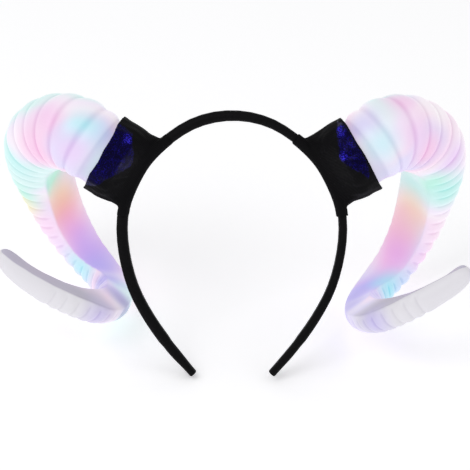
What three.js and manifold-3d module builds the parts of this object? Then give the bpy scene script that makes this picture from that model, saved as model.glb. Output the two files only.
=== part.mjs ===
// Ram horns headband: a ribbon-covered band, two cloth sleeves and two hollow, ribbed horns.
// Millimetres, +Z up. The headband is built upright in its own plane (x across, y back, z up),
// then leaned back until the band's ends and both horns stand on z = 0.
import * as THREE from 'three';
import { mergeVertices } from 'three/addons/utils/BufferGeometryUtils.js';
import Module from 'manifold-3d';

const wasm = await Module();
wasm.setup();

// Band: a flat springy strip covered in ribbon, measured along the middle of its thickness.
const bandSpan = 128; // widest, limb to limb
const bandRise = 151; // from the ends to the crown
const bandThickness = 4.8;
const bandWidthCrown = 11; // front to back
const bandWidthEnd = 8;
const bandEdgeRadius = 1.5;
const bandSteps = 57; // odd, so that one facet lies square across the crown

// Half of the band's outline, crown to end: across is a share of half the span, up of the rise.
const bandOutline = [
  { across: 0.0, up: 1.0 },
  { across: 0.37, up: 0.966 },
  { across: 0.745, up: 0.843 },
  { across: 0.92, up: 0.72 },
  { across: 0.99, up: 0.627 },
  { across: 0.992, up: 0.503 },
  { across: 0.907, up: 0.346 },
  { across: 0.759, up: 0.221 },
  { across: 0.548, up: 0.095 },
  { across: 0.354, up: 0.0 },
];

// Sleeve: a cloth boot that holds the horn's base and wraps round the band.
const seatHeight = 118; // middle of the sleeve's seat on the band, above the band's ends
const sleeveLift = 30; // degrees, the horn's base above the horizontal
const sleeveLength = 23.5; // from the band's middle to the hem
const sleeveSeatLength = 50; // along the band
const clothThickness = 1.4;
const wrapLength = 54; // cloth wound round the band, along the band
const wrapThickness = 0.7;
const hemCorner = 0.8; // how far the seam's corner stands out of the hem
const sleeveWaist = 1.6; // how far the sides draw in between the band and the hem
const foldDepth = 0.7; // creases where the cloth is gathered to the band
const foldCount = 7;
const sleeveSides = 24;
const fitGap = 0.3; // between one piece and the next
const hornPlay = 0.6; // round the horn's base, inside the sleeve

// Horn: a hollow moulding, round at its base and flat on the inside of its curl.
const hornBaseWidth = 43;
const hornWall = 2;
const hornInsert = 9; // length of the base inside the sleeve
const hornReach = 56.8; // outward, base to tip
const hornDepth = 73; // base to the back of the curl
const hornDrop = 88; // base to the bottom of the curl
const ribPitchBase = 9.5;
const ribPitchTip = 6.5;
const ribHeight = 1.6;
const smoothTip = 32; // length of the tip with no ribs
const tipSteps = 6;
const liningSteps = 18;
const flatPoints = 4; // points across the flat inner face, corners included
const roundPoints = 10; // points round the rest of a section

// The horn's middle line. out, back and up are shares of the reach, depth and drop, from the middle of
// the hem; width is a share of the base width; flat is the inner face's distance from the middle line
// over the radius, 1 where the section is round; turn swings that face round the middle line, degrees.
const hornPath = [
  { out: 0.000, back: 0.000, up: 0.000, width: 1.000, flat: 1.00, turn: 0 },
  { out: 0.216, back: 0.019, up: 0.110, width: 1.075, flat: 0.96, turn: 0 },
  { out: 0.454, back: 0.134, up: 0.140, width: 1.056, flat: 0.90, turn: -2 },
  { out: 0.712, back: 0.317, up: 0.085, width: 0.997, flat: 0.82, turn: -7 },
  { out: 0.851, back: 0.555, up: -0.053, width: 0.907, flat: 0.74, turn: -14 },
  { out: 0.879, back: 0.781, up: -0.257, width: 0.806, flat: 0.67, turn: -22 },
  { out: 0.835, back: 0.942, up: -0.491, width: 0.705, flat: 0.62, turn: -27 },
  { out: 0.704, back: 1.000, up: -0.702, width: 0.605, flat: 0.60, turn: -28 },
  { out: 0.521, back: 0.921, up: -0.861, width: 0.540, flat: 0.60, turn: -24 },
  { out: 0.368, back: 0.729, up: -0.955, width: 0.512, flat: 0.60, turn: -15 },
  { out: 0.289, back: 0.474, up: -0.995, width: 0.498, flat: 0.60, turn: 0 },
  { out: 0.278, back: 0.211, up: -1.000, width: 0.486, flat: 0.60, turn: 20 },
  { out: 0.352, back: -0.023, up: -0.973, width: 0.470, flat: 0.60, turn: 36 },
  { out: 0.500, back: -0.186, up: -0.905, width: 0.440, flat: 0.60, turn: 48 },
  { out: 0.680, back: -0.274, up: -0.822, width: 0.410, flat: 0.62, turn: 55 },
  { out: 0.833, back: -0.310, up: -0.752, width: 0.374, flat: 0.65, turn: 58 },
  { out: 0.932, back: -0.329, up: -0.700, width: 0.339, flat: 0.70, turn: 58 },
  { out: 0.990, back: -0.350, up: -0.660, width: 0.295, flat: 0.76, turn: 58 },
  { out: 1.025, back: -0.370, up: -0.630, width: 0.206, flat: 0.82, turn: 58 },
];

const bendRow = 11; // the path's lowest row, where the tip begins
const archRows = 7; // rows of the path that bulge with arch

// The inner face looks towards this point, in the same shares as the middle line.
const curlCentre = { out: -0.25, back: 0.45, up: -0.5 };

// How each horn sits in its sleeve. The two were fixed by hand and differ a little: size is a factor on
// the curl, and the turns, in degrees, are about the axes across, back and up through the hem. seam is
// where the sleeve's seam meets the hem: -1 at the top, 1 at the bottom. arch is how much higher the
// base bulges, as a share of the drop; tipTwist is a factor on the tip's turn; tipOut and tipUp say how much further the tip was drawn out and up, as shares of the reach and the drop.
const horns = [
  { name: 'left', side: -1, seam: -1, size: 1.032, turnAcross: 1.1, turnBack: 9.2, turnUp: 7.8, arch: 0.04, tipTwist: 1, tipOut: 0.05, tipUp: 0.126 },
  { name: 'right', side: 1, seam: 1, size: 1.078, turnAcross: -3.0, turnBack: 6.0, turnUp: 5.8, arch: 0.012, tipTwist: 0.5, tipOut: 0, tipUp: 0 },
];

const ribbonBlack = new THREE.MeshStandardMaterial({ color: '#131318', roughness: 0.6, metalness: 0 });
const sleeveCloth = new THREE.MeshStandardMaterial({ color: '#15131f', roughness: 0.5, metalness: 0 });
const hornWhite = new THREE.MeshStandardMaterial({ color: '#ece6f0', roughness: 0.4, metalness: 0 });

const back = new THREE.Vector3(0, 1, 0);
const toRadians = THREE.MathUtils.degToRad;

// A closed skin over rings of equally many points. A ring of one point is a pole.
function skin(rings) {
  const positions = [];
  const starts = rings.map((ring) => {
    const start = positions.length / 3;
    ring.forEach((p) => positions.push(p.x, p.y, p.z));
    return start;
  });
  const index = [];
  for (let i = 0; i + 1 < rings.length; i++) {
    const sides = Math.max(rings[i].length, rings[i + 1].length);
    for (let k = 0; k < sides; k++) {
      const next = (k + 1) % sides;
      const a = starts[i] + (rings[i].length > 1 ? k : 0);
      const b = starts[i] + (rings[i].length > 1 ? next : 0);
      const c = starts[i + 1] + (rings[i + 1].length > 1 ? next : 0);
      const d = starts[i + 1] + (rings[i + 1].length > 1 ? k : 0);
      if (a !== b) index.push(a, b, c);
      if (c !== d) index.push(a, c, d);
    }
  }
  const geometry = new THREE.BufferGeometry();
  geometry.setAttribute('position', new THREE.Float32BufferAttribute(positions, 3));
  geometry.setIndex(index);
  return facingOut(geometry);
}

// Turns a closed mesh's faces outward, by the sign of its volume.
function facingOut(geometry) {
  const p = geometry.attributes.position;
  const index = geometry.index.array;
  const corner = [0, 1, 2].map(() => new THREE.Vector3());
  let volume = 0;
  for (let i = 0; i < index.length; i += 3) {
    corner.forEach((v, k) => v.fromBufferAttribute(p, index[i + k]));
    volume += corner[0].dot(corner[1].clone().cross(corner[2]));
  }
  if (volume < 0) {
    for (let i = 0; i < index.length; i += 3) {
      [index[i + 1], index[i + 2]] = [index[i + 2], index[i + 1]];
    }
  }
  return geometry;
}

function middleOf(ring) {
  return ring.reduce((sum, p) => sum.add(p), new THREE.Vector3()).divideScalar(ring.length);
}

function toSolid(geometry) {
  const bare = geometry.clone();
  bare.deleteAttribute('normal');
  bare.deleteAttribute('uv');
  const merged = mergeVertices(bare, 1e-4);
  return new wasm.Manifold(new wasm.Mesh({
    numProp: 3,
    vertProperties: new Float32Array(merged.attributes.position.array),
    triVerts: new Uint32Array(merged.index.array),
  }));
}

function toGeometry(solid) {
  const mesh = solid.getMesh();
  const geometry = new THREE.BufferGeometry();
  geometry.setAttribute('position', new THREE.Float32BufferAttribute(mesh.vertProperties, 3));
  geometry.setIndex(Array.from(mesh.triVerts));
  return geometry;
}

// Band

function bandCurve() {
  const half = bandOutline.map((row) => [row.across * bandSpan / 2, row.up * bandRise]);
  const right = half.map(([x, z]) => new THREE.Vector3(x, 0, z));
  const left = half.slice(1).map(([x, z]) => new THREE.Vector3(-x, 0, z));
  return new THREE.CatmullRomCurve3([...left.reverse(), ...right], false, 'centripetal');
}

const bandLine = bandCurve();
const bandLength = bandLine.getLength();

function bandWidthAt(u) {
  return THREE.MathUtils.lerp(bandWidthEnd, bandWidthCrown, Math.sin(Math.PI * u));
}

// A rounded strip's section at share u of the band's length, grown by a margin all round.
function bandRing(u, margin) {
  const middle = bandLine.getPointAt(u);
  const along = bandLine.getTangentAt(u);
  const outward = new THREE.Vector3().crossVectors(back, along).negate();
  const halfThickness = bandThickness / 2 + margin;
  const halfWidth = bandWidthAt(u) / 2 + margin;
  const cut = bandEdgeRadius + margin * 0.5;
  const outline = [
    [halfThickness, halfWidth - cut], [halfThickness - cut, halfWidth],
    [-halfThickness + cut, halfWidth], [-halfThickness, halfWidth - cut],
    [-halfThickness, -halfWidth + cut], [-halfThickness + cut, -halfWidth],
    [halfThickness - cut, -halfWidth], [halfThickness, -halfWidth + cut],
  ];
  return outline.map(([t, w]) => middle.clone().addScaledVector(outward, t).addScaledVector(back, w));
}

// The band's strip from share u0 to u1 of its length.
function bandStrip(u0, u1, steps, margin) {
  const rings = [];
  for (let i = 0; i <= steps; i++) rings.push(bandRing(THREE.MathUtils.lerp(u0, u1, i / steps), margin));
  return skin([[middleOf(rings[0])], ...rings, [middleOf(rings[steps])]]);
}

// Sleeve, built for the right side

// Share of the band's length where the sleeve sits, on the right-hand limb.
function seatShare() {
  let low = 0.5;
  let high = 1;
  for (let i = 0; i < 40; i++) {
    const middle = (low + high) / 2;
    if (bandLine.getPointAt(middle).z > seatHeight) low = middle;
    else high = middle;
  }
  return low;
}

const seat = seatShare();
const seatPoint = bandLine.getPointAt(seat);
const lift = toRadians(sleeveLift);
const sleeveAxis = new THREE.Vector3(Math.cos(lift), 0, Math.sin(lift));
const sleeveDown = new THREE.Vector3(Math.sin(lift), 0, -Math.cos(lift));
const hemCentre = seatPoint.clone().addScaledVector(sleeveAxis, sleeveLength);

// A ring of the boot: t is 0 at the band and 1 at the hem, inset is how far inside the cloth it lies.
// The seam's corner stands out at the bottom of the hem or, with seam -1, at its top.
function sleeveRing(t, inset, seam) {
  const bore = (hornBaseWidth / 2 + hornPlay) / Math.cos(Math.PI / sleeveSides);
  const hemRadius = bore + clothThickness - inset;
  const seatHalf = sleeveSeatLength / 2 - inset;
  const swell = THREE.MathUtils.smoothstep(t, 0, 0.6);
  const gathered = Math.sin(Math.PI * THREE.MathUtils.clamp(t / 0.6, 0, 1));
  const ring = [];
  for (let k = 0; k < sleeveSides; k++) {
    const angle = 2 * Math.PI * k / sleeveSides;
    const fold = foldDepth * gathered * Math.cos(foldCount * angle);
    const corner = inset > 0 ? 0
      : hemCorner * THREE.MathUtils.smoothstep(t, 0.7, 1) * Math.max(0, seam * Math.cos(angle)) ** 12;
    const onBand = bandLine.getPointAt(seat + Math.cos(angle) * seatHalf / bandLength);
    const onHem = hemCentre.clone().addScaledVector(sleeveDown, Math.cos(angle) * (hemRadius + corner));
    const depth = THREE.MathUtils.lerp(bandWidthAt(seat) / 2 + clothThickness - inset, hemRadius, swell);
    ring.push(onBand.lerp(onHem, t)
      .addScaledVector(sleeveDown, -Math.cos(angle) * (sleeveWaist * gathered + fold))
      .addScaledVector(back, Math.sin(angle) * (depth + fold * (1 - t))));
  }
  return ring;
}

function bootSolid(from, to, steps, inset, seam) {
  const rings = [];
  for (let i = 0; i <= steps; i++) {
    rings.push(sleeveRing(THREE.MathUtils.lerp(from, to, i / steps), inset, seam));
  }
  return toSolid(skin([[middleOf(rings[0])], ...rings, [middleOf(rings[steps])]]));
}

function sleeveGeometry(seam) {
  const wrapHalf = wrapLength / 2 / bandLength;
  const wrap = toSolid(bandStrip(seat - wrapHalf, seat + wrapHalf, 12, fitGap + wrapThickness));
  const channelHalf = wrapHalf + 2 / bandLength;
  const channel = toSolid(bandStrip(seat - channelHalf, seat + channelHalf, 16, fitGap));
  const boot = bootSolid(0, 1, 6, 0, seam);
  const roof = (bandThickness / 2 + fitGap + wrapThickness + clothThickness) / sleeveLength;
  const hollow = bootSolid(roof, 1.2, 6, clothThickness, seam);
  return toGeometry(boot.add(wrap).subtract(hollow).subtract(channel));
}

// Horn, built for the right side with the middle of the hem as its origin

// The middle line of one horn: straight inside the sleeve, then the path turned by how the horn sits.
function hornLineFor({ size, turnAcross, turnBack, turnUp, arch, tipTwist, tipOut, tipUp }) {
  const sit = new THREE.Euler(toRadians(turnAcross), toRadians(turnBack), toRadians(turnUp));
  const place = (row, index) => {
    const drawn = Math.max(0, (index - bendRow) / (hornPath.length - 1 - bendRow)) ** 1.5;
    const bulge = arch * Math.sin(Math.PI * Math.min(index / archRows, 1));
    const out = row.out + tipOut * drawn;
    const up = row.up + tipUp * drawn + bulge;
    return new THREE.Vector3(out * hornReach, row.back * hornDepth, up * hornDrop)
      .multiplyScalar(size).applyEuler(sit);
  };
  const line = new THREE.CatmullRomCurve3(
    [sleeveAxis.clone().multiplyScalar(-hornInsert), ...hornPath.map(place)], false, 'centripetal',
  );
  line.arcLengthDivisions = 600;
  return { line, length: line.getLength(), centre: place(curlCentre, 0), tipTwist };
}

// A column of the path's table at parameter t of the middle line, whose first stretch is in the sleeve.
function hornColumn(name, t) {
  const place = Math.max(0, t * hornPath.length - 1);
  const row = Math.min(Math.floor(place), hornPath.length - 2);
  return THREE.MathUtils.lerp(hornPath[row][name], hornPath[row + 1][name], place - row);
}

// A section at distance s along the horn: an even run of points across the flat inner face, then the
// rest of the circle. Ribs raise the round part only.
function hornRing({ line, length, centre, tipTwist }, s, rib, inset) {
  const t = line.getUtoTmapping(THREE.MathUtils.clamp(s / length, 0, 1));
  const middle = line.getPoint(t);
  const along = line.getTangent(t);
  const inward = centre.clone().sub(middle);
  inward.addScaledVector(along, -inward.dot(along)).normalize();
  const turn = hornColumn('turn', t);
  inward.applyAxisAngle(along, toRadians(turn > 0 ? turn * tipTwist : turn));
  const sideways = new THREE.Vector3().crossVectors(along, inward);
  const flat = hornColumn('flat', t);
  const radius = hornColumn('width', t) * hornBaseWidth / 2;
  const corner = Math.acos(Math.min(flat, 0.92));
  const at = (angle, r) => middle.clone()
    .addScaledVector(inward, Math.cos(angle) * r).addScaledVector(sideways, Math.sin(angle) * r);
  const ring = [];
  for (let i = 0; i < flatPoints; i++) {
    const angle = THREE.MathUtils.lerp(-corner, corner, i / (flatPoints - 1));
    ring.push(at(angle, Math.min(radius, radius * flat / Math.cos(angle)) - inset));
  }
  for (let i = 1; i <= roundPoints; i++) {
    const angle = THREE.MathUtils.lerp(corner, 2 * Math.PI - corner, i / (roundPoints + 1));
    const fromCorner = Math.min(angle - corner, 2 * Math.PI - corner - angle);
    ring.push(at(angle, radius + rib * ribHeight * THREE.MathUtils.smoothstep(fromCorner, 0, 0.4) - inset));
  }
  return ring;
}

// Distances along a horn with their rib heights: a groove, then a rounded band, for each rib.
function ribStations(length) {
  const stations = [];
  const ribbed = length - smoothTip;
  for (let s = hornInsert + 3; s < ribbed;) {
    const share = s / ribbed;
    const pitch = THREE.MathUtils.lerp(ribPitchBase, ribPitchTip, share);
    const fade = 1 - 0.45 * THREE.MathUtils.smoothstep(share, 0.6, 1);
    stations.push([s, -0.6 * fade], [s + pitch * 0.28, 0.4 * fade], [s + pitch * 0.68, 0.5 * fade]);
    s += pitch;
  }
  const last = stations[stations.length - 1][0];
  for (let i = 1; i <= tipSteps; i++) stations.push([THREE.MathUtils.lerp(last, length, i / tipSteps), 0]);
  return stations;
}

function hornGeometry(how) {
  const horn = hornLineFor(how);
  const outside = [
    hornRing(horn, 0, 0, 0),
    ...ribStations(horn.length).map(([s, rib]) => hornRing(horn, s, rib, 0)),
  ];
  const tip = horn.line.getPoint(1).addScaledVector(horn.line.getTangent(1), 1.5);
  const lining = [];
  const liningEnd = horn.length - smoothTip * 0.6;
  for (let i = 0; i <= liningSteps; i++) {
    lining.push(hornRing(horn, THREE.MathUtils.lerp(0, liningEnd, i / liningSteps), 0, hornWall));
  }
  return skin([[tip], ...outside.reverse(), ...lining, [middleOf(lining[liningSteps])]]);
}

// Assembly

function mirrored(geometry, side) {
  if (side > 0) return geometry;
  const copy = geometry.clone();
  copy.scale(-1, 1, 1);
  return facingOut(copy);
}

function named(name, geometry, material) {
  const mesh = new THREE.Mesh(geometry, material);
  mesh.name = name;
  return mesh;
}

const headband = named('headband', bandStrip(0, 1, bandSteps, 0), ribbonBlack);
const pieces = [headband];
for (const how of horns) {
  const horn = hornGeometry(how).translate(hemCentre.x, hemCentre.y, hemCentre.z);
  const sleeve = sleeveGeometry(how.seam);
  pieces.push(named(`sleeve_${how.name}`, mirrored(sleeve, how.side), sleeveCloth));
  pieces.push(named(`horn_${how.name}`, mirrored(horn, how.side), hornWhite));
}

// Height of a piece's lowest point once the headband has been leaned back and rolled sideways.
function lowest(piece, lean, roll) {
  const turn = new THREE.Euler(-lean, roll, 0, 'XYZ');
  const p = piece.geometry.attributes.position;
  const point = new THREE.Vector3();
  let low = Infinity;
  for (let i = 0; i < p.count; i++) low = Math.min(low, point.fromBufferAttribute(p, i).applyEuler(turn).z);
  return low;
}

function bisect(low, high, tooFar) {
  for (let i = 0; i < 40; i++) {
    const middle = (low + high) / 2;
    if (tooFar(middle)) high = middle;
    else low = middle;
  }
  return low;
}

// It stands leaning back on the band's ends and both horns: the lean at which they touch together.
const [hornLeft, hornRight] = horns.map((how) => pieces.find((piece) => piece.name === `horn_${how.name}`));
const leanAt = (roll) => bisect(0, toRadians(60), (lean) => (
  Math.min(lowest(hornLeft, lean, roll), lowest(hornRight, lean, roll)) < lowest(headband, lean, roll)
));
const roll = bisect(toRadians(-8), toRadians(8), (angle) => {
  const lean = leanAt(angle);
  return lowest(hornRight, lean, angle) < lowest(hornLeft, lean, angle);
});
const lean = leanAt(roll);

const leaning = new THREE.Group();
leaning.rotation.set(-lean, roll, 0, 'XYZ');
leaning.add(...pieces);

const part = new THREE.Group();
part.add(leaning);
part.updateMatrixWorld(true);
const box = new THREE.Box3().setFromObject(part, true);
const middle = box.getCenter(new THREE.Vector3());
part.position.set(-middle.x, -middle.y, -box.min.z);

export default part;
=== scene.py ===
import bpy, bmesh, math
from mathutils import Matrix, Vector, noise


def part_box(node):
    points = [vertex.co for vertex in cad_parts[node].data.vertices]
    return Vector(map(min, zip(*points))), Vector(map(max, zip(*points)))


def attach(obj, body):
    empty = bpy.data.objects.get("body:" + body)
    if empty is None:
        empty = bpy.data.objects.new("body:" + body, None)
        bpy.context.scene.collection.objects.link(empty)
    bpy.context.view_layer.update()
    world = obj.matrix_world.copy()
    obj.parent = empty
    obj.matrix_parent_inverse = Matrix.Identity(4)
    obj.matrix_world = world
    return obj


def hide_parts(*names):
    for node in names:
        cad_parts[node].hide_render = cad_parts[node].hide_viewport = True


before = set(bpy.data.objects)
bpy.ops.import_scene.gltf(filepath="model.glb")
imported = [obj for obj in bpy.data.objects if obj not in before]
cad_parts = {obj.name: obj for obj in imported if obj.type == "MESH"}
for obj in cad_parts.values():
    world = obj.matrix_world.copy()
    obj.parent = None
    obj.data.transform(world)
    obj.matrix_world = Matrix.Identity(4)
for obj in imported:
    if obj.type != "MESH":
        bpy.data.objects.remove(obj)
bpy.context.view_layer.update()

# How the headband rests: upright in its own plane, then leaned back and rolled a little sideways. The
# part's source works these values out.
resting = {"lean": 26.361664, "roll": -2.260761, "place": (3.191903, -58.394909, 3.381379)}
upright = (
    Matrix.Translation(Vector(resting["place"]) / 1000)
    @ Matrix.Rotation(math.radians(-resting["lean"]), 4, "X")
    @ Matrix.Rotation(math.radians(resting["roll"]), 4, "Y")
)
toUpright = upright.inverted()
directionUpright, directionBack = toUpright.to_3x3(), upright.to_3x3()

# The photograph looks at the band nearly square on, from a little above.
photoView = {"aim": (1.45, 0, 81.8), "distance": 1000, "above": 6.0, "lens": 132}


def linear(hexColour):
    channels = [int(hexColour[i:i + 2], 16) / 255 for i in (1, 3, 5)]
    channels = [c / 12.92 if c <= 0.04045 else ((c + 0.055) / 1.055) ** 2.4 for c in channels]
    return (*channels, 1.0)


def smoothstep(low, high, x):
    t = min(max((x - low) / (high - low), 0), 1)
    return t * t * (3 - 2 * t)


def addNode(tree, kind, settings=None, **inputs):
    node = tree.nodes.new("ShaderNode" + kind)
    for name, value in (settings or {}).items():
        setattr(node, name, value)
    for name, value in inputs.items():
        key = int(name[1:]) if name[0] == "_" else name.replace("_", " ")
        if isinstance(value, bpy.types.NodeSocket):
            tree.links.new(value, node.inputs[key])
        else:
            node.inputs[key].default_value = value
    return node


def newMaterial(name, **shader):
    material = bpy.data.materials.new(name)
    material.use_nodes = True
    tree = material.node_tree
    tree.nodes.clear()
    principled = addNode(tree, "BsdfPrincipled")
    for key, value in shader.items():
        principled.inputs[key.replace("_", " ")].default_value = value
    out = addNode(tree, "OutputMaterial")
    tree.links.new(principled.outputs[0], out.inputs["Surface"])
    return material, tree, principled


def mergedCopy(nodeName, pieceName):
    # The CAD node's triangles, merged.
    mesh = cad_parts[nodeName].data.copy()
    mesh.name = pieceName
    mesh.materials.clear()
    piece = bpy.data.objects.new(pieceName, mesh)
    bpy.context.scene.collection.objects.link(piece)
    work = bmesh.new()
    work.from_mesh(mesh)
    bmesh.ops.remove_doubles(work, verts=work.verts, dist=2e-5)
    work.normal_update()
    return piece, work


def pairTriangles(work):
    bmesh.ops.join_triangles(work, faces=work.faces, angle_face_threshold=math.radians(50),
                             angle_shape_threshold=math.radians(70))


def finishPiece(piece, work, material, nodeName, levels=0):
    work.to_mesh(piece.data)
    work.free()
    for face in piece.data.polygons:
        face.use_smooth = True
    if levels:
        smooth = piece.modifiers.new("Subdivision", "SUBSURF")
        smooth.levels = smooth.render_levels = levels
    piece.data.materials.append(material)
    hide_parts(nodeName)
    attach(piece, "root")


# Horns. Translucent soft vinyl, slush moulded and lit by a string of small lamps inside: every lamp
# shows as a soft pool of pastel colour, which fades out before the tip.
hornLooks = {
    "roughness": 0.42,
    "glow": 0.50,  # strength of the light inside, where the horn is lit
    "tipPaintedGlow": 0.10,  # and in its tip, which holds no lamp: a faint painted glow
    "litBody": 0.52,  # share of the colour that the lit skin itself reflects
    "greyBody": 0.92,  # and that the tip reflects
    "litGround": (  # the haze between the pools: where on its noise, and the colour
        (0.34, "#def7f6"), (0.43, "#f6eefd"), (0.5, "#fdf2fb"), (0.58, "#fbe3f5"), (0.67, "#e6dffb"),
    ),
    "hazeScale": 21.0,  # swells of the haze in a metre
    "greyGround": "#e6e4ea",  # the tip's ribbed strip
    "tipFaceShade": "#c4bfd0",  # the tip's flat face, darker grey: painted shade
    "reach": 19,  # millimetres from a lamp's pool to its edge
    "faceReach": 24,  # the same on the flat face
    "cover": 0.84,  # how far a pool hides the haze at its middle
    "faceCover": 0.68,
    "drift": 12,  # millimetres that the pools' edges wander over
    "driftScale": 28.0,  # swells of that in a metre
    "grain": 0.9,  # millimetres, the fine texture of the mould
    "hollow": (0.35, 1.1),  # millimetres deep, where a groove begins and where it is full
    "grooveCrease": 0.55,  # how sharp a full groove stays
    "ridgeCrease": 0.85,  # and the ridge beside the flat face
    "straight": -0.9985,  # cosine between a vertex's two edges round the horn, on the flat face
    "ridge": (-0.93, -0.7),  # the same cosine beside it, from a soft ridge to a sharp one
    "greyBack": (14, -8),  # millimetres behind the band, over which the light dies out
    "greyUp": (98, 84),  # and millimetres above its ends
    "rearTurn": {"left": -19, "right": 10},  # degrees that the flat face is swung at the back of the curl
    "rearBack": (15, 72),  # millimetres behind the band, over which that comes in
    "tipTurn": {"left": 15, "right": 0},  # degrees along the tip
    "tipBack": (12, -8),  # millimetres behind the band, over which that comes in
    "tipUp": (75, 60),  # and millimetres above its ends
}

# Where each pool of colour lies, as shares of the horn's own box, its colour, and whether it shows on
# the flat inner face only (1), on the ribbed strip only (-1) or on both (0). The places were sighted
# from the photograph's camera onto the CAD horns.
lampPools = {
    "horn_left": [
        (0.76, 0.38, 0.94, "#cfd8f7", 0), (0.74, 0.30, 0.82, "#dff3fb", 0),
        (0.63, 0.39, 0.95, "#c2f4fa", 0), (0.47, 0.54, 0.99, "#fdeffd", 0),
        (0.37, 0.46, 0.94, "#f8cdf0", 0), (0.58, 0.33, 0.86, "#ecd3f8", 0),
        (0.26, 0.47, 0.86, "#f7d3ee", 0), (0.30, 0.45, 0.77, "#f9c9ea", 0),
        (0.12, 0.58, 0.66, "#c6f3f3", -1), (0.14, 0.73, 0.45, "#bdf5e6", -1),
        (0.16, 0.80, 0.36, "#f4f2c8", -1), (0.36, 0.69, 0.55, "#86ecc4", 1),
        (0.43, 0.79, 0.42, "#fdd394", 1), (0.44, 0.79, 0.33, "#fca7a6", 1),
        (0.32, 0.75, 0.28, "#fbdcf6", -1), (0.53, 0.80, 0.24, "#ee9fe9", 1),
        (0.42, 0.74, 0.17, "#f3dcfb", -1), (0.65, 0.77, 0.17, "#bf9ff8", 1),
        (0.55, 0.70, 0.12, "#b9f2fa", -1), (0.75, 0.68, 0.13, "#a9a3f4", 1),
        (0.81, 0.52, 0.14, "#aba5ea", 0), (0.85, 0.35, 0.20, "#b0a8e4", 0),
        (0.93, 0.29, 0.18, "#9f98ca", 0), (0.80, 0.08, 0.24, "#d3c9f2", 0),
    ],
    "horn_right": [
        (0.20, 0.44, 0.94, "#d7d4f8", 0), (0.35, 0.37, 0.88, "#cff2fb", 0),
        (0.32, 0.36, 0.78, "#e6e6fb", 0), (0.45, 0.57, 0.98, "#f9cdee", 0),
        (0.74, 0.65, 0.92, "#fffafe", 0), (0.67, 0.49, 0.82, "#fbcbea", 0),
        (0.55, 0.45, 0.90, "#f3d5f6", 0), (0.87, 0.62, 0.72, "#eccdf5", 0),
        (0.73, 0.64, 0.60, "#b9f6e2", 0), (0.63, 0.78, 0.53, "#b4f2e6", 1),
        (0.88, 0.70, 0.55, "#bdf4ee", -1), (0.65, 0.80, 0.39, "#fbd2b0", 1),
        (0.58, 0.82, 0.29, "#fcb9cf", 1), (0.56, 0.78, 0.20, "#f1a5ec", 1),
        (0.80, 0.76, 0.31, "#fbe3f7", -1), (0.72, 0.75, 0.18, "#f9d6f6", -1),
        (0.38, 0.64, 0.12, "#ada2fa", 1), (0.54, 0.64, 0.10, "#9eeefa", 0),
        (0.64, 0.72, 0.10, "#c8ddfb", -1), (0.35, 0.08, 0.26, "#cfc6f4", 0),
        (0.28, 0.53, 0.13, "#b6adf0", 0), (0.23, 0.40, 0.16, "#bdb5ec", 0),
    ],
}


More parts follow.
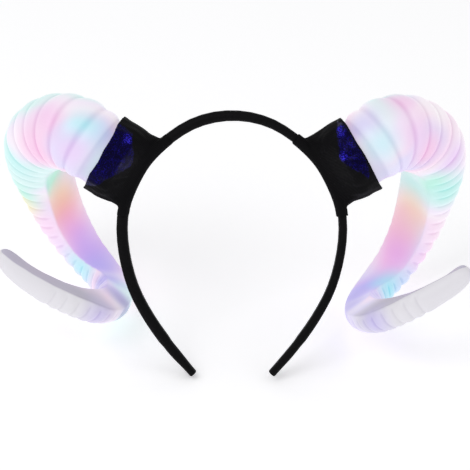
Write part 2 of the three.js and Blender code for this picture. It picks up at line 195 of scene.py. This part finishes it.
def litVinyl(nodeName):
    # Soft satin skin; the colour is the light inside seen through it, with painted shade in the grooves that
    # darkens it and makes it more saturated.
    material, tree, principled = newMaterial("lit_vinyl_" + nodeName, IOR=1.5,
                                             Roughness=hornLooks["roughness"])
    low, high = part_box(nodeName)
    place = addNode(tree, "TexCoord").outputs["Object"]
    drift = addNode(tree, "TexNoise", Vector=place, Scale=hornLooks["driftScale"], Detail=1.0)
    wander = addNode(tree, "VectorMath", {"operation": "MULTIPLY_ADD"}, _0=drift.outputs["Color"],
                     _1=(hornLooks["drift"] / 1000,) * 3, _2=place)
    centre = addNode(tree, "VectorMath", {"operation": "SUBTRACT"}, _0=wander.outputs[0],
                     _1=(hornLooks["drift"] / 2000,) * 3)
    lit = addNode(tree, "Attribute", {"attribute_name": "lit"}).outputs["Fac"]
    flat = addNode(tree, "Attribute", {"attribute_name": "flat"}).outputs["Fac"]
    face = addNode(tree, "MapRange", {"interpolation_type": "SMOOTHSTEP"}, Value=flat,
                   From_Min=0.4, From_Max=0.56)
    strip = addNode(tree, "Math", {"operation": "SUBTRACT"}, _0=1.0, _1=face.outputs[0])
    # The tip's flat face is given a darker grey than its ribbed strip: painted shade.
    tipFaceShade = addNode(tree, "Mix", {"data_type": "RGBA"}, _0=face.outputs[0],
                       _6=linear(hornLooks["greyGround"]), _7=linear(hornLooks["tipFaceShade"]))
    haze = addNode(tree, "TexNoise", Vector=place, Scale=hornLooks["hazeScale"], Detail=0.0)
    pastel = addNode(tree, "ValToRGB", Fac=haze.outputs[0])
    stops = pastel.color_ramp.elements
    for index, (position, tint) in enumerate(hornLooks["litGround"]):
        stop = stops[index] if index < 2 else stops.new(position)
        stop.position, stop.color = position, linear(tint)
    ground = addNode(tree, "Mix", {"data_type": "RGBA"}, _0=lit,
                     _6=tipFaceShade.outputs[2], _7=pastel.outputs[0])
    colour = ground.outputs[2]
    for x, y, z, tint, where in lampPools[nodeName]:
        reach = hornLooks["faceReach" if where > 0 else "reach"]
        cover = hornLooks["faceCover" if where > 0 else "cover"]
        spot = low + Vector((x * (high.x - low.x), y * (high.y - low.y), z * (high.z - low.z)))
        away = addNode(tree, "VectorMath", {"operation": "DISTANCE"}, _0=centre.outputs[0], _1=spot)
        near = addNode(tree, "MapRange", {"interpolation_type": "SMOOTHSTEP"}, Value=away.outputs["Value"],
                       From_Min=reach / 1000, From_Max=0.001, To_Min=0.0, To_Max=cover)
        if where:
            side = face if where > 0 else strip
            near = addNode(tree, "Math", {"operation": "MULTIPLY"}, _0=near.outputs[0], _1=side.outputs[0])
        mixed = addNode(tree, "Mix", {"data_type": "RGBA"}, _0=near.outputs[0], _6=colour,
                        _7=linear(tint))
        colour = mixed.outputs[2]
    groove = addNode(tree, "Attribute", {"attribute_name": "groove"}).outputs["Fac"]
    # Painted shade: in the grooves the colour, both reflected and glowing, is darkened and made more
    # saturated.
    grooveShadeMask = addNode(tree, "MapRange", {"interpolation_type": "SMOOTHSTEP"}, Value=groove,
                     From_Min=0.3, From_Max=1.0, To_Max=0.8)
    paintedGrooveShade = addNode(tree, "HueSaturation", Saturation=1.35, Value=0.88, Color=colour)
    skin = addNode(tree, "Mix", {"data_type": "RGBA"}, _0=grooveShadeMask.outputs[0], _6=colour,
                   _7=paintedGrooveShade.outputs[0])
    # Where the horn is unlit its skin still glows faintly: painted glow on the tip.
    strength = addNode(tree, "MapRange", Value=lit, To_Min=hornLooks["tipPaintedGlow"],
                       To_Max=hornLooks["glow"])
    reflected = addNode(tree, "MapRange", Value=lit, To_Min=hornLooks["greyBody"],
                        To_Max=hornLooks["litBody"])
    body = addNode(tree, "VectorMath", {"operation": "SCALE"}, _0=skin.outputs[2], Scale=reflected.outputs[0])
    grain = addNode(tree, "TexNoise", Vector=place, Scale=1000 / hornLooks["grain"], Detail=2.0)
    bump = addNode(tree, "Bump", Height=grain.outputs[0], Strength=0.08, Distance=0.0002)
    tree.links.new(body.outputs[0], principled.inputs["Base Color"])
    tree.links.new(skin.outputs[2], principled.inputs["Emission Color"])
    tree.links.new(strength.outputs[0], principled.inputs["Emission Strength"])
    tree.links.new(bump.outputs[0], principled.inputs["Normal"])
    return material


def ringNumbers(work):
    # Steps from the tip's single point to every vertex: all vertices of one section share a number.
    poles = [vert for vert in work.verts if len(vert.link_edges) > 10]
    tip = max(poles, key=lambda vert: abs(vert.co.x))
    ring, edge = {tip: 0}, [tip]
    while edge:
        beyond = []
        for vert in edge:
            for link in vert.link_edges:
                other = link.other_vert(vert)
                if other not in ring:
                    ring[other] = ring[vert] + 1
                    beyond.append(other)
        edge = beyond
    return ring


def swingFace(side, ring):
    # Turns each section round its own middle.
    sections = {}
    for vert, number in ring.items():
        sections.setdefault(number, []).append(vert)
    middles = {}
    for number, verts in sections.items():
        middles[number] = sum((vert.co for vert in verts), Vector()) / len(verts)
    # The rim is where the outside turns into the lining, which is numbered on towards the tip again.
    rings = [n for n in middles if len(sections[n]) > 1 and len(sections.get(n + 1, [])) > 1]
    rim = min(rings, key=lambda n: (middles[n + 1] - middles[n]).length)
    for number, verts in sections.items():
        if number - 1 not in middles or number + 1 not in middles:
            continue
        middle = middles[number]
        stand = toUpright @ middle * 1000
        atRear = smoothstep(*hornLooks["rearBack"], stand.y)
        atTip = smoothstep(*hornLooks["tipBack"], stand.y) * smoothstep(*hornLooks["tipUp"], stand.z)
        angle = hornLooks["rearTurn"][side] * atRear + hornLooks["tipTurn"][side] * atTip
        towardsTip = (middles[number - 1] - middles[number + 1]).normalized()
        if towardsTip.length < 0.5:
            continue
        if number > rim:
            towardsTip.negate()
        turn = Matrix.Rotation(math.radians(angle), 3, towardsTip)
        for vert in verts:
            vert.co = middle + turn @ (vert.co - middle)


def nearestPlace(vert, others):
    return min(others, key=lambda other: (other.co - vert.co).length).co


def makeHorn(side):
    nodeName = "horn_" + side
    piece, work = mergedCopy(nodeName, "lit_horn_" + side)
    groove = work.verts.layers.float.new("groove")
    lit = work.verts.layers.float.new("lit")
    flat = work.verts.layers.float.new("flat")
    crease = work.edges.layers.float.new("crease_edge")
    ring = ringNumbers(work)
    swingFace(side, ring)
    work.normal_update()
    corner = {}
    for vert in work.verts:
        others = [link.other_vert(vert) for link in vert.link_edges]
        beside = [other for other in others if ring[other] == ring[vert]]
        before = [other for other in others if ring[other] == ring[vert] - 1]
        after = [other for other in others if ring[other] == ring[vert] + 1]
        if before and after:
            between = (nearestPlace(vert, before) + nearestPlace(vert, after)) / 2
            vert[groove] = smoothstep(*hornLooks["hollow"], (between - vert.co).dot(vert.normal) * 1000)
        if len(beside) == 2:
            one, two = [(other.co - vert.co).normalized() for other in beside]
            corner[vert] = one.dot(two)
            vert[flat] = 1.0 if corner[vert] < hornLooks["straight"] else 0.0
        stand = toUpright @ vert.co * 1000
        grey = smoothstep(*hornLooks["greyBack"], stand.y) * smoothstep(*hornLooks["greyUp"], stand.z)
        vert[lit] = 1 - grey
    face = {vert for vert in work.verts if vert[flat] == 1.0}
    ridge = {}
    for vert in work.verts:
        beside = [link.other_vert(vert) for link in vert.link_edges]
        if vert not in face and any(other in face and ring[other] == ring[vert] for other in beside):
            vert[flat] = 0.5
            ridge[vert] = smoothstep(*hornLooks["ridge"], corner.get(vert, -1))
    for edge in work.edges:
        one, two = edge.verts
        if ring[one] == ring[two]:
            edge[crease] = hornLooks["grooveCrease"] * min(one[groove], two[groove])
        elif one in ridge and two in ridge:
            edge[crease] = hornLooks["ridgeCrease"] * min(ridge[one], ridge[two])
    pairTriangles(work)
    finishPiece(piece, work, litVinyl(nodeName), nodeName, levels=2)
    print("horn", side, "made,", len(face), "vertices on its flat face")


for side in ("left", "right"):
    makeHorn(side)


# Sleeves. Black polyester cloth with a patch of crackled metallic foil in dark blue, gathered on the
# band and hemmed at the horn.
sleeveLooks = {
    "voxel": 0.65,  # millimetres
    "crease": 0.8,  # millimetres, height of the gathers
    "waver": 1.1,  # millimetres that the hem's edge wavers
    "thread": 0.45,  # millimetres; the weave is drawn a little over twice as coarse, so that it shows
    "foilFlake": 0.75,  # millimetres across a crackle of the foil
    "seat": (54.09, 0, 118.0),  # where the sleeve's middle meets the band, upright, right-hand side
    "lift": 30,  # degrees that its axis rises
}

# The foil's edges: at each distance down from the middle of the sleeve, from and to along it, in
# millimetres from the band, sighted on the CAD sleeves as the pools are.
foilEdges = {
    "left": [(-20, 22.0, 22.6), (-18.8, 14.4, 26), (-12, 9.8, 26), (-4.2, 5.7, 23.3), (-1.5, 6.0, 23.0),
             (4.5, 9.9, 24.0), (10.5, 13.7, 26), (17.5, 17.2, 26), (20, 22.7, 23)],
    "right": [(-23, 20.3, 20.9), (-18.7, 16.7, 22.4), (-11.7, 13.6, 22.8), (-4.1, 9.9, 22.7),
              (0, 11.8, 22.5), (4.2, 14.4, 22.3), (8.4, 17.3, 21.6), (13, 19.0, 19.9)],
}

# Painted highlights where the foil catches the light: how far along and down, and the spot's radius.
paintedFoilGlints = {"left": [(14.5, -15.1, 4.2)], "right": [(18.5, -18.0, 4.5), (12.7, -5.3, 3.8)]}


def foilSpan(side, down):
    # Where the foil begins and ends along the sleeve, or nothing past its top and bottom.
    rows = foilEdges[side]
    for (above, aboveFrom, aboveTo), (under, underFrom, underTo) in zip(rows, rows[1:]):
        if above <= down <= under:
            share = (down - above) / (under - above)
            return aboveFrom + (underFrom - aboveFrom) * share, aboveTo + (underTo - aboveTo) * share
    return None


def foiledCloth(side):
    # Woven matt black cloth; the foil shines where a flake faces the light, and a painted highlight also
    # brightens its colour round a few fixed spots.
    material, tree, principled = newMaterial("foiled_cloth_" + side, IOR=1.5, Specular_IOR_Level=0.1)
    place = addNode(tree, "TexCoord").outputs["Object"]
    foil = addNode(tree, "Attribute", {"attribute_name": "foil"}).outputs["Fac"]
    flakes = addNode(tree, "TexVoronoi", {"feature": "F1"}, Vector=place,
                     Scale=1000 / sleeveLooks["foilFlake"])
    cloud = addNode(tree, "TexNoise", Vector=place, Scale=330.0, Detail=3.0)
    flakeTone = addNode(tree, "MapRange", Value=flakes.outputs["Distance"], From_Min=0.1, From_Max=0.75,
                        To_Min=1.0, To_Max=0.1)
    speckle = addNode(tree, "Math", {"operation": "MULTIPLY"}, _0=flakeTone.outputs[0], _1=cloud.outputs[0])
    spot = addNode(tree, "Attribute", {"attribute_name": "paintedGlint"}).outputs["Fac"]
    # Painted highlight: the foil's colour is made brighter round the glint spots.
    paintedGlintGain = addNode(tree, "MapRange", Value=spot, To_Min=0.62, To_Max=2.1)
    paintedGlint = addNode(tree, "Math", {"operation": "MULTIPLY"}, _0=speckle.outputs[0], _1=paintedGlintGain.outputs[0])
    blue = addNode(tree, "ValToRGB", Fac=paintedGlint.outputs[0])
    ramp = blue.color_ramp
    ramp.elements[0].position, ramp.elements[0].color = 0.12, linear("#070428")
    ramp.elements[1].position, ramp.elements[1].color = 0.62, linear("#3a30d8")
    middle = ramp.elements.new(0.34)
    middle.color = linear("#150e6c")
    weave = addNode(tree, "TexWave", {"bands_direction": "DIAGONAL"}, Vector=place,
                    Scale=1000 / sleeveLooks["thread"] / 6.3, Distortion=0.6)
    black = addNode(tree, "Mix", {"data_type": "RGBA"}, _0=weave.outputs["Fac"], _6=linear("#030305"),
                    _7=linear("#070609"))
    colour = addNode(tree, "Mix", {"data_type": "RGBA"}, _0=foil, _6=black.outputs[2], _7=blue.outputs[0])
    rough = addNode(tree, "MapRange", Value=foil, To_Min=0.72, To_Max=0.3)
    metal = addNode(tree, "Math", {"operation": "MULTIPLY"}, _0=foil, _1=0.65)
    relief = addNode(tree, "Mix", _0=foil, _2=weave.outputs["Fac"], _3=flakes.outputs["Distance"])
    bump = addNode(tree, "Bump", Height=relief.outputs[0], Strength=0.25, Distance=0.0003)
    tree.links.new(colour.outputs[2], principled.inputs["Base Color"])
    tree.links.new(rough.outputs[0], principled.inputs["Roughness"])
    tree.links.new(metal.outputs[0], principled.inputs["Metallic"])
    tree.links.new(bump.outputs[0], principled.inputs["Normal"])
    return material


def makeSleeve(side):
    nodeName = "sleeve_" + side
    piece, work = mergedCopy(nodeName, "cloth_sleeve_" + side)
    work.to_mesh(piece.data)
    work.free()
    remesh = piece.modifiers.new("Remesh", "REMESH")
    remesh.mode = "VOXEL"
    remesh.voxel_size = sleeveLooks["voxel"] / 1000
    bpy.context.view_layer.update()
    fine = bpy.data.meshes.new_from_object(piece.evaluated_get(bpy.context.evaluated_depsgraph_get()))
    piece.modifiers.clear()
    piece.data = fine
    work = bmesh.new()
    work.from_mesh(fine)
    for _ in range(2):
        bmesh.ops.smooth_vert(work, verts=work.verts, factor=0.5,
                              use_axis_x=True, use_axis_y=True, use_axis_z=True)
    work.normal_update()
    foil = work.verts.layers.float.new("foil")
    paintedGlint = work.verts.layers.float.new("paintedGlint")
    lift = math.radians(sleeveLooks["lift"])
    axis, down = Vector((math.cos(lift), 0, math.sin(lift))), Vector((math.sin(lift), 0, -math.cos(lift)))
    sign = -1 if side == "left" else 1
    mirror = Matrix.Diagonal((sign, 1, 1))
    outOfHem = directionBack @ (mirror @ axis)
    for vert in work.verts:
        at = mirror @ (toUpright @ vert.co * 1000) - Vector(sleeveLooks["seat"])
        facing = mirror @ (directionUpright @ vert.normal)
        along, below = at.dot(axis), at.dot(down)
        bearing = math.atan2(at.y, below)
        out = Vector((0, at.y, 0)) + down * below
        span = foilSpan(side, below + 0.5 * noise.noise(at * 0.5))
        if span and at.y < 0 and facing.y < 0.3:
            inside = min(along - span[0], span[1] - along) + 0.7 * noise.noise(at * 0.9)
            vert[foil] = smoothstep(-0.3, 0.3, inside)
            # Painted highlight: how strongly each vertex lies in a painted glint spot.
            vert[paintedGlint] = max(smoothstep(radius, 0, math.hypot(along - spotAlong, below - spotDown))
                              for spotAlong, spotDown, radius in paintedFoilGlints[side])
        if out.length > 6 and facing.dot(out) > 0 and along > 3:
            # Gathers run from the band towards the hem and die out before it.
            gather = noise.noise(Vector((bearing * 5.5, along * 0.07, sign * 3.0)))
            fade = smoothstep(23.0, 12, along) * smoothstep(2, 7, along)
            wear = noise.noise(at * 0.22) * 0.25 * smoothstep(3, 7, along)
            vert.co += vert.normal * (sleeveLooks["crease"] * (gather * fade + wear)) / 1000
        if out.length > 6:
            # The hem was cut by hand, so its edge wavers.
            waver = noise.noise(Vector((math.cos(bearing) * 1.6, math.sin(bearing) * 1.6, sign * 5)))
            vert.co += outOfHem * (sleeveLooks["waver"] * waver * smoothstep(15, 23, along)) / 1000
    finishPiece(piece, work, foiledCloth(side), nodeName)
    print("sleeve", side, "made")


for side in ("left", "right"):
    makeSleeve(side)


# Band. A springy strip wound with black satin ribbon, whose picot edge shows as tiny teeth.
bandLooks = {
    "middle": 85,  # millimetres above its ends, the point that its length is measured round
    "radius": 66,  # millimetres from there, near enough for its length
    "longEdge": 5.5,  # millimetres, past which an edge is cut up to carry the teeth
    "ribbonEdge": 3.0,  # millimetres from the band's middle plane, past which the teeth show
    "toothPitch": 2.4,  # millimetres
    "toothHeight": 0.28,
    "turnPitch": 7.5,  # millimetres between the turns of the winding
    "slant": 0.9,  # millimetres that a turn runs on for each across the band
    "start": 400,  # millimetres, only shifts the turns along
    "lintScale": 900.0,  # specks of lint in a metre
    "padding": 0.8,  # millimetres of extra ribbon on the left limb, fading out towards the right
}


def satinRibbon():
    # Worn ribbon: matt black with specks of lint and the step of each turn of the winding.
    material, tree, principled = newMaterial("satin_ribbon", Roughness=0.6, IOR=1.5, Specular_IOR_Level=0.1)
    along = addNode(tree, "Attribute", {"attribute_name": "along"}).outputs["Fac"]
    place = addNode(tree, "TexCoord").outputs["Object"]
    turns = addNode(tree, "Math", {"operation": "MULTIPLY"}, _0=along, _1=1 / bandLooks["turnPitch"])
    step = addNode(tree, "Math", {"operation": "FRACT"}, _0=turns.outputs[0])
    lint = addNode(tree, "TexNoise", Vector=place, Scale=bandLooks["lintScale"], Detail=3.0)
    colour = addNode(tree, "ValToRGB", Fac=lint.outputs[0])
    dark, pale = colour.color_ramp.elements
    dark.position, dark.color = 0.35, linear("#020203")
    pale.position, pale.color = 0.75, linear("#0a090d")
    relief = addNode(tree, "Math", {"operation": "MULTIPLY_ADD"}, _0=lint.outputs[0], _1=0.4,
                     _2=step.outputs[0])
    bump = addNode(tree, "Bump", Height=relief.outputs[0], Strength=0.5, Distance=0.0003)
    tree.links.new(colour.outputs[0], principled.inputs["Base Color"])
    tree.links.new(bump.outputs[0], principled.inputs["Normal"])
    return material


def makeBand():
    piece, work = mergedCopy("headband", "ribbon_band")
    pairTriangles(work)
    longEdges = [edge for edge in work.edges if edge.calc_length() > bandLooks["longEdge"] / 1000]
    bmesh.ops.subdivide_edges(work, edges=longEdges, cuts=5, smooth=0.0, use_grid_fill=True)
    work.normal_update()
    along = work.verts.layers.float.new("along")
    for vert in work.verts:
        at = toUpright @ vert.co * 1000
        run = math.atan2(at.x, at.z - bandLooks["middle"]) * bandLooks["radius"]
        vert[along] = run + at.y * bandLooks["slant"] + bandLooks["start"]
        outward = directionUpright @ vert.normal
        outward.y = 0
        pad = bandLooks["padding"] * smoothstep(70, -30, at.x) * smoothstep(2, 14, at.z)
        vert.co += directionBack @ outward * pad / 1000
        if abs(at.y) > bandLooks["ribbonEdge"]:
            tooth = 0.5 + 0.5 * math.cos(2 * math.pi * run / bandLooks["toothPitch"])
            vert.co += vert.normal * bandLooks["toothHeight"] * (tooth - 0.4) / 1000
    finishPiece(piece, work, satinRibbon(), "headband", levels=1)
    print("band made")


makeBand()


# Studio: a pale floor, soft light all round, a soft key light from the upper left and a weak fill light
# from the right.
studio = {
    "floor": "#fbfbfc",
    "floorGlow": 0.27,
    "sky": 0.62,
    "lights": {  # place in metres, watts, and size in metres
        "key": ((-0.7, -0.8, 1.3), 6.0, 0.9),
        "fill": ((0.9, -0.6, 0.9), 1.2, 1.2),
    },
    "lightsAim": (0, 0, 0.07),
}


def makeStudio():
    ground = bmesh.new()
    bmesh.ops.create_grid(ground, x_segments=1, y_segments=1, size=6)
    mesh = bpy.data.meshes.new("floor")
    ground.to_mesh(mesh)
    ground.free()
    floor = bpy.data.objects.new("floor", mesh)
    bpy.context.scene.collection.objects.link(floor)
    pale = linear(studio["floor"])
    material, tree, principled = newMaterial("pale_floor", Roughness=0.9, Specular_IOR_Level=0.0,
                                             Base_Color=pale, Emission_Color=pale,
                                             Emission_Strength=studio["floorGlow"])
    mesh.materials.append(material)
    world = bpy.data.worlds.new("studio")
    world.use_nodes = True
    sky = world.node_tree.nodes["Background"]
    sky.inputs["Color"].default_value = (1, 1, 1, 1)
    sky.inputs["Strength"].default_value = studio["sky"]
    bpy.context.scene.world = world
    for name, (place, power, size) in studio["lights"].items():
        light = bpy.data.lights.new(name, "AREA")
        light.energy, light.size = power, size
        lamp = bpy.data.objects.new(name, light)
        lamp.location = place
        aim = Vector(studio["lightsAim"]) - Vector(place)
        lamp.rotation_euler = aim.to_track_quat("-Z", "Y").to_euler()
        bpy.context.scene.collection.objects.link(lamp)


def makeCamera():
    above = math.radians(photoView["above"])
    forward = Vector((0, math.cos(above), -math.sin(above)))
    upward = Vector((0, math.sin(above), math.cos(above)))
    spot = (Vector(photoView["aim"]) - forward * photoView["distance"]) / 1000
    turn = Matrix((Vector((1, 0, 0)), upward, -forward)).transposed().to_4x4()
    data = bpy.data.cameras.new("photo_camera")
    data.lens, data.sensor_width = photoView["lens"], 36
    camera = bpy.data.objects.new("photo_camera", data)
    camera.matrix_world = upright @ Matrix.Translation(spot) @ turn
    bpy.context.scene.collection.objects.link(camera)
    bpy.context.scene.camera = camera


makeStudio()
makeCamera()
bpy.context.scene.view_settings.view_transform = "Standard"
print("studio made")
